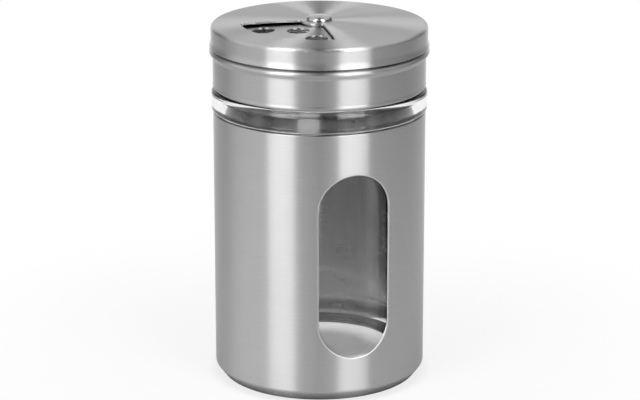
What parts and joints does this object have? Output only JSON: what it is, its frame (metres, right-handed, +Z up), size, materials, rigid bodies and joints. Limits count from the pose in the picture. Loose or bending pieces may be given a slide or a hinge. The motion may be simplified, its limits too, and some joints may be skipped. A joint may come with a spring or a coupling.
{
  "type": "spice shaker",
  "caption": "Round glass shaker jar in a windowed steel sleeve, with a screw cap and a rotary dial that opens different pouring holes",
  "frame": {"origin": "centre of the foot, on the surface that the jar stands on", "axes": "+Z up along the jar's axis; -Y out through the middle of the window in the sleeve"},
  "size_m": [0.064, 0.064, 0.1078],
  "materials": {
    "clear_glass": "clear, smooth, slightly uneven pressed glass",
    "brushed_steel": "satin, brushed round the axis",
    "polished_steel": "polished",
    "washer_steel": "plain stamped steel",
    "white_plastic": "moulded, natural white",
    "seal_silicone": "soft, translucent white"
  },
  "bodies": {
    "jar": {"glass_jar": "clear_glass", "steel_sleeve": "brushed_steel"},
    "seal": {"mouth_seal": "seal_silicone"},
    "cap": {"cap_shell": "brushed_steel", "thread_insert": "white_plastic", "pivot_rivet": "polished_steel", "spacer_washer": "washer_steel", "spring_washer": "washer_steel", "pivot_washer": "washer_steel"},
    "dial": {"dial_cover": "brushed_steel"}
  },
  "joints": [
    {"name": "cap_lift", "type": "slide", "parent": "jar", "child": "seal", "axis": [0, 0, 1], "range_m": [0, 0.016]},
    {"name": "cap_turn", "type": "hinge", "parent": "seal", "child": "cap", "pos_m": [0, 0, 0.095], "axis": [0, 0, 1], "range_deg": [0, 1440]},
    {"name": "dial_turn", "type": "hinge", "parent": "cap", "child": "dial", "pos_m": [0, 0, 0.106], "axis": [0, 0, 1], "continuous": true}
  ],
  "couplings": [
    {"joint": "cap_lift", "follows": "cap_turn", "m_per_rad": 0.00063662}
  ]
}
